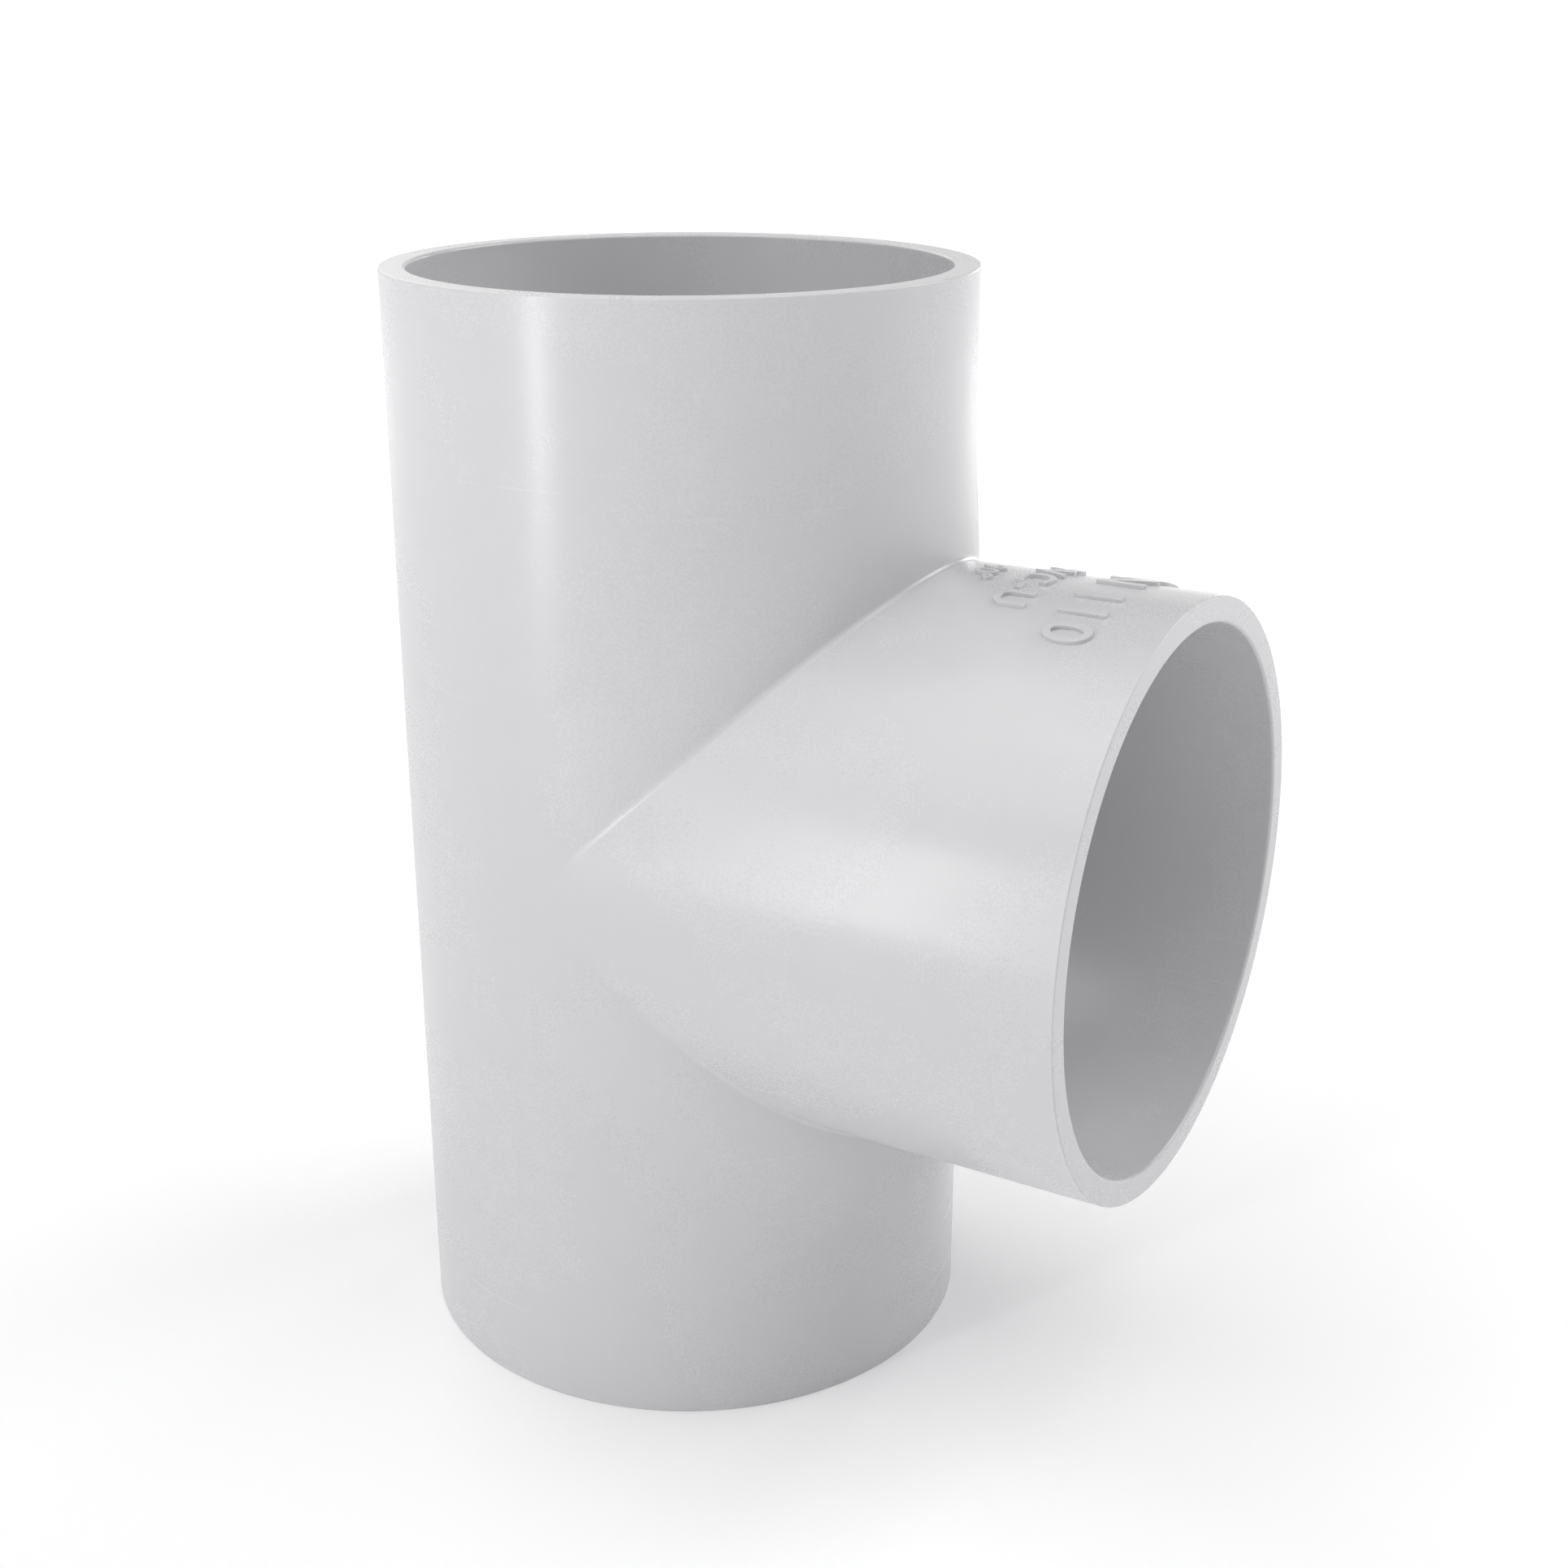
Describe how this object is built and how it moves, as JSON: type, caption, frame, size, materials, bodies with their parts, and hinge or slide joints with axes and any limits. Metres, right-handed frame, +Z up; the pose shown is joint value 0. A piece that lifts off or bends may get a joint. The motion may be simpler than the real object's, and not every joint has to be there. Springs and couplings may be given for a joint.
{
  "type": "tee fitting",
  "caption": "Rigid PVC 90 degree tee for solvent-welded drain pipe: straight run with an equal branch at mid height, plain sockets with pipe stops.",
  "frame": {"origin": "on the floor, under the middle of the whole tee's outline seen from above, so the run's axis stands at x = -0.0267 m and the branch's axis is 0.1162 m up", "axes": "+Z up along the run, +X out along the branch, +Y level across both"},
  "size_m": [0.1744, 0.121, 0.2324],
  "materials": {
    "grey_pvc": "satin"
  },
  "bodies": {
    "root": {"tee_body": "grey_pvc"}
  },
  "joints": []
}
